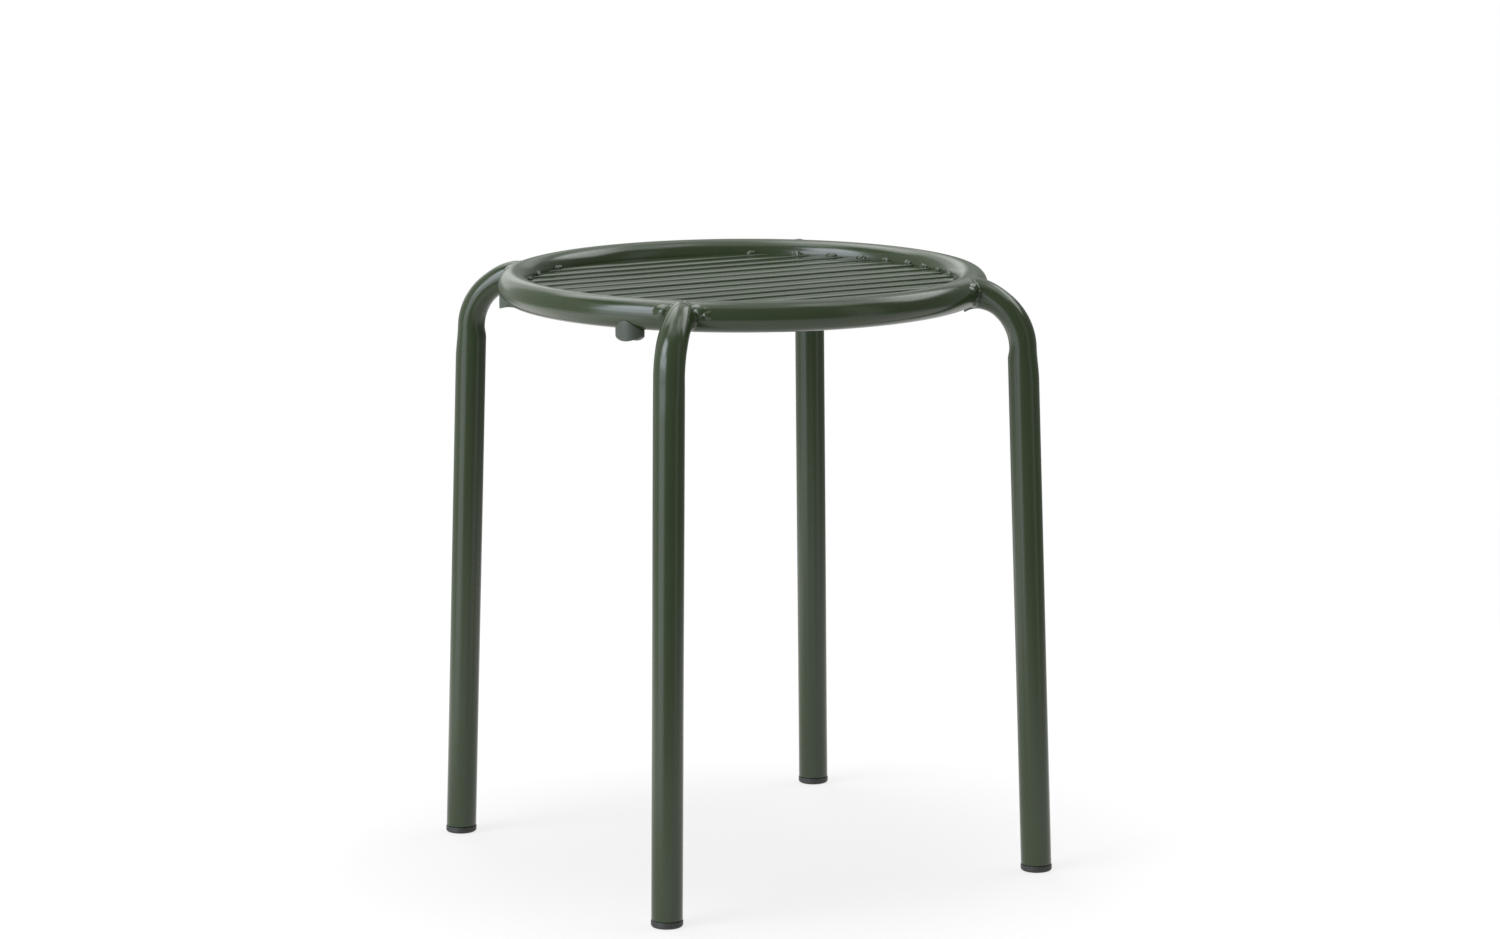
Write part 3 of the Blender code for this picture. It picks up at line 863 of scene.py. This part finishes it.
def floor_material():
    """Matte pale floor, partly lit from itself with painted light and shade by place, which fades out
    into the backdrop.
    """
    mat = bpy.data.materials.new("studio_floor")
    mat.use_nodes = True
    tree = mat.node_tree
    shader = tree.nodes["Principled BSDF"]
    shader.inputs["Roughness"].default_value = 0.9
    shader.inputs["Specular IOR Level"].default_value = 0.0
    shader.inputs["Base Color"].default_value = (FLOOR_ALBEDO, FLOOR_ALBEDO, FLOOR_ALBEDO, 1.0)
    shader.inputs["Emission Color"].default_value = FLOOR_TINT
    place = tree.nodes.new("ShaderNodeTexCoord").outputs["Object"]
    length = tree.nodes.new("ShaderNodeVectorMath")
    length.operation = "LENGTH"
    tree.links.new(place, length.inputs[0])
    distance = length.outputs["Value"]
    tree.links.new(floor_glow(tree, place, distance), shader.inputs["Emission Strength"])
    clear = tree.nodes.new("ShaderNodeBsdfTransparent")
    mix = tree.nodes.new("ShaderNodeMixShader")
    tree.links.new(map_range(tree, distance, FLOOR_FADE, (0.0, 1.0), smooth=True), mix.inputs["Fac"])
    tree.links.new(shader.outputs["BSDF"], mix.inputs[1])
    tree.links.new(clear.outputs["BSDF"], mix.inputs[2])
    tree.links.new(mix.outputs["Shader"], tree.nodes["Material Output"].inputs["Surface"])
    return mat


def make_floor():
    verts, faces = [(0.0, 0.0, 0.0)], []
    steps = 96
    for radius in FLOOR_RADII:
        for turn in circle(steps).tolist():
            verts.append((radius * math.cos(turn), radius * math.sin(turn), 0.0))
    for i in range(steps):
        j = (i + 1) % steps
        faces.append((0, 1 + i, 1 + j))
        faces.append((1 + i, 1 + steps + i, 1 + steps + j, 1 + j))
    stage_object("studio_floor", verts, faces, floor_material())


def make_backdrop():
    """White surround that only the camera sees; it neither lights the stool nor shows in it."""
    verts, faces = [], []
    steps, rows = 48, 24
    for k in range(rows + 1):
        polar = math.pi * k / rows
        for turn in circle(steps).tolist():
            verts.append((
                BACKDROP_R * math.sin(polar) * math.cos(turn),
                BACKDROP_R * math.sin(polar) * math.sin(turn),
                BACKDROP_R * math.cos(polar),
            ))
    for k in range(rows):
        for i in range(steps):
            j = (i + 1) % steps
            faces.append((k * steps + i, k * steps + j, (k + 1) * steps + j, (k + 1) * steps + i))
    mat = bpy.data.materials.new("studio_backdrop")
    mat.use_nodes = True
    tree = mat.node_tree
    tree.nodes.remove(tree.nodes["Principled BSDF"])
    glow = tree.nodes.new("ShaderNodeEmission")
    glow.inputs["Color"].default_value = (1.0, 1.0, 1.0, 1.0)
    tree.links.new(glow.outputs["Emission"], tree.nodes["Material Output"].inputs["Surface"])
    obj = stage_object("studio_backdrop", verts, faces, mat)
    obj.visible_diffuse = False
    obj.visible_glossy = False
    obj.visible_transmission = False
    obj.visible_volume_scatter = False
    obj.visible_shadow = False


def panel_window(tree, angle, centre, half, soft):
    """1 within half of the centre angle, falling softly to 0; degrees."""
    wrap = tree.nodes.new("ShaderNodeMath")
    wrap.operation = "WRAP"
    tree.links.new(math_node(tree, "SUBTRACT", angle, math.radians(centre)), wrap.inputs[0])
    wrap.inputs[1].default_value = math.pi
    wrap.inputs[2].default_value = -math.pi
    off = math_node(tree, "ABSOLUTE", wrap.outputs["Value"])
    edge = (math.radians(half - soft), math.radians(half + soft))
    return map_range(tree, off, edge, (1.0, 0.0), smooth=True)


def panel_light(tree, azimuth, elevation, panel):
    """Light of one panel in a direction."""
    around, half_around, up, half_up, soft, radiance, tint = panel
    side = panel_window(tree, azimuth, around, half_around, soft)
    rise = panel_window(tree, elevation, up, half_up, soft)
    level = math_node(tree, "MULTIPLY", math_node(tree, "MULTIPLY", side, rise), radiance)
    paint = tree.nodes.new("ShaderNodeVectorMath")
    paint.operation = "SCALE"
    paint.inputs["Vector"].default_value = tint
    tree.links.new(level, paint.inputs["Scale"])
    return paint.outputs["Vector"]


def make_world():
    """The studio as the stool sees it: soft panels of light around and above, on dim walls."""
    world = bpy.data.worlds.new("studio")
    bpy.context.scene.world = world
    world.use_nodes = True
    tree = world.node_tree
    room = tree.nodes["Background"]
    coords = tree.nodes.new("ShaderNodeTexCoord")
    spin = tree.nodes.new("ShaderNodeVectorRotate")
    spin.rotation_type = "Z_AXIS"
    spin.inputs["Angle"].default_value = -CAMERA_AZIMUTH
    tree.links.new(coords.outputs["Generated"], spin.inputs["Vector"])
    split = tree.nodes.new("ShaderNodeSeparateXYZ")
    tree.links.new(spin.outputs["Vector"], split.inputs["Vector"])
    back = math_node(tree, "MULTIPLY", split.outputs["Y"], -1.0)
    azimuth = math_node(tree, "ARCTAN2", split.outputs["X"], back)
    elevation = math_node(tree, "ARCSINE", split.outputs["Z"])
    total = None
    for panel in PANELS.values():
        light = panel_light(tree, azimuth, elevation, panel)
        if total is None:
            total = light
            continue
        add = tree.nodes.new("ShaderNodeVectorMath")
        add.operation = "ADD"
        tree.links.new(total, add.inputs[0])
        tree.links.new(light, add.inputs[1])
        total = add.outputs["Vector"]
    tree.links.new(total, room.inputs["Color"])
    room.inputs["Strength"].default_value = 1.0


def main():
    coat = powder_coat("green_powder_coat", COAT_ROUGH)
    slat_coat = powder_coat("green_powder_coat_slats", SLAT_COAT_ROUGH)
    pad_plastic = moulded_plastic("green_plastic", PAD_DARK, PAD_LIGHT, PAD_ROUGH)
    foot_plastic = moulded_plastic("black_plastic", FOOT_DARK, FOOT_LIGHT, FOOT_ROUGH)
    rng = random.Random(11)
    make_ring(coat)
    for corner in CORNERS:
        make_leg(corner, coat)
        make_leg_weld(corner, coat, rng)
        make_pad(corner, pad_plastic)
        make_foot(corner, foot_plastic)
    for node in SLAT_NODES:
        make_slat(node, slat_coat, coat, rng)
    make_floor()
    make_world()
    make_backdrop()
    make_camera()
    bpy.context.scene.view_settings.view_transform = "Standard"


main()
